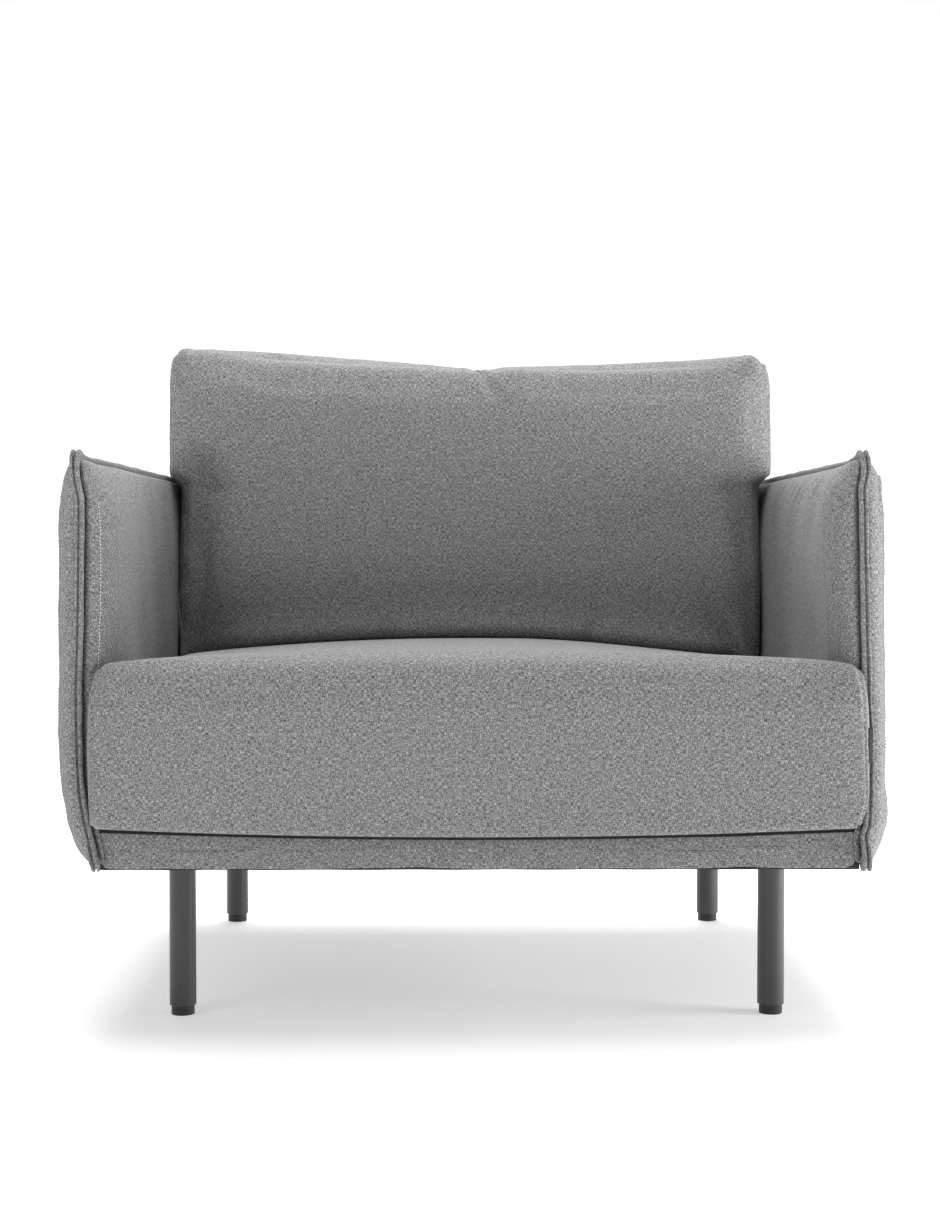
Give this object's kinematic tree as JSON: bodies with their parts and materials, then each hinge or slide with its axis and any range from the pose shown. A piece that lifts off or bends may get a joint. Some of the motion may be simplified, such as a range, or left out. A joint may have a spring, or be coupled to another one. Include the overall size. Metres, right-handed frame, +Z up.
{
  "type": "upholstered armchair",
  "caption": "Boxy upholstered armchair with thin padded arm panels, a loose seat cushion and a taller loose back cushion, standing on round metal legs.",
  "frame": {"origin": "on the floor under the middle of the chair's footprint", "axes": "+X to the right for someone facing the chair, +Y from the seat's front towards the back panel, +Z up"},
  "size_m": [0.95, 0.89, 0.8443],
  "materials": {
    "cover_fabric": "matte",
    "foam": "matte",
    "fibre_fill": "matte",
    "frame_timber": "matte",
    "plywood": "matte",
    "elastic_webbing": "matte",
    "black_lining": "matte",
    "leg_powder_coat": "satin",
    "glide_plastic": "matte",
    "zinc_steel": "satin",
    "zip_tape": "matte",
    "zip_metal": "satin",
    "tag_tape": "matte"
  },
  "bodies": {
    "frame": {"rail_front": "frame_timber", "rail_rear": "frame_timber", "rail_left": "frame_timber", "rail_right": "frame_timber", "center_rail": "frame_timber", "cross_board_front": "frame_timber", "cross_board_rear": "frame_timber", "corner_blocks": "frame_timber", "webbing_lengthwise": "elastic_webbing", "webbing_crosswise": "elastic_webbing", "deck_cloth": "black_lining", "dust_cover": "black_lining", "base_band": "cover_fabric", "leg_front_left": "leg_powder_coat", "leg_front_right": "leg_powder_coat", "leg_rear_left": "leg_powder_coat", "leg_rear_right": "leg_powder_coat", "glide_front_left": "glide_plastic", "glide_front_right": "glide_plastic", "glide_rear_left": "glide_plastic", "glide_rear_right": "glide_plastic", "leg_screws": "zinc_steel", "frame_bolts": "zinc_steel", "frame_washers": "zinc_steel", "insert_nuts": "zinc_steel", "arm_board_left": "plywood", "arm_board_right": "plywood", "arm_pad_inner_left": "foam", "arm_pad_inner_right": "foam", "arm_pad_outer_left": "foam", "arm_pad_outer_right": "foam", "arm_cover_inner_left": "cover_fabric", "arm_cover_inner_right": "cover_fabric", "arm_cover_outer_left": "cover_fabric", "arm_cover_outer_right": "cover_fabric", "arm_flange_left": "cover_fabric", "arm_flange_right": "cover_fabric", "back_board": "plywood", "back_pad_front": "foam", "back_pad_rear": "foam", "back_cover_front": "cover_fabric", "back_cover_rear": "cover_fabric", "back_flange": "cover_fabric"},
    "seat_cushion": {"seat_foam": "foam", "seat_topper": "fibre_fill", "seat_cover": "cover_fabric", "seat_zip": "zip_tape", "seat_tag": "tag_tape"},
    "seat_slider": {"seat_zip_slider": "zip_metal"},
    "back_cushion": {"back_cushion_fill": "fibre_fill", "back_cushion_cover": "cover_fabric", "back_zip": "zip_tape"},
    "back_slider": {"back_zip_slider": "zip_metal"}
  },
  "joints": [
    {"name": "seat_lift", "type": "slide", "parent": "frame", "child": "seat_cushion", "axis": [0, 0, 1], "range_m": [0, 0.45]},
    {"name": "back_lift", "type": "slide", "parent": "seat_cushion", "child": "back_cushion", "axis": [0, 0, 1], "range_m": [0, 0.25]},
    {"name": "seat_zip_travel", "type": "slide", "parent": "seat_cushion", "child": "seat_slider", "axis": [1, 0, 0], "range_m": [0, 0.58]},
    {"name": "back_zip_travel", "type": "slide", "parent": "back_cushion", "child": "back_slider", "axis": [1, 0, 0], "range_m": [0, 0.58]}
  ]
}
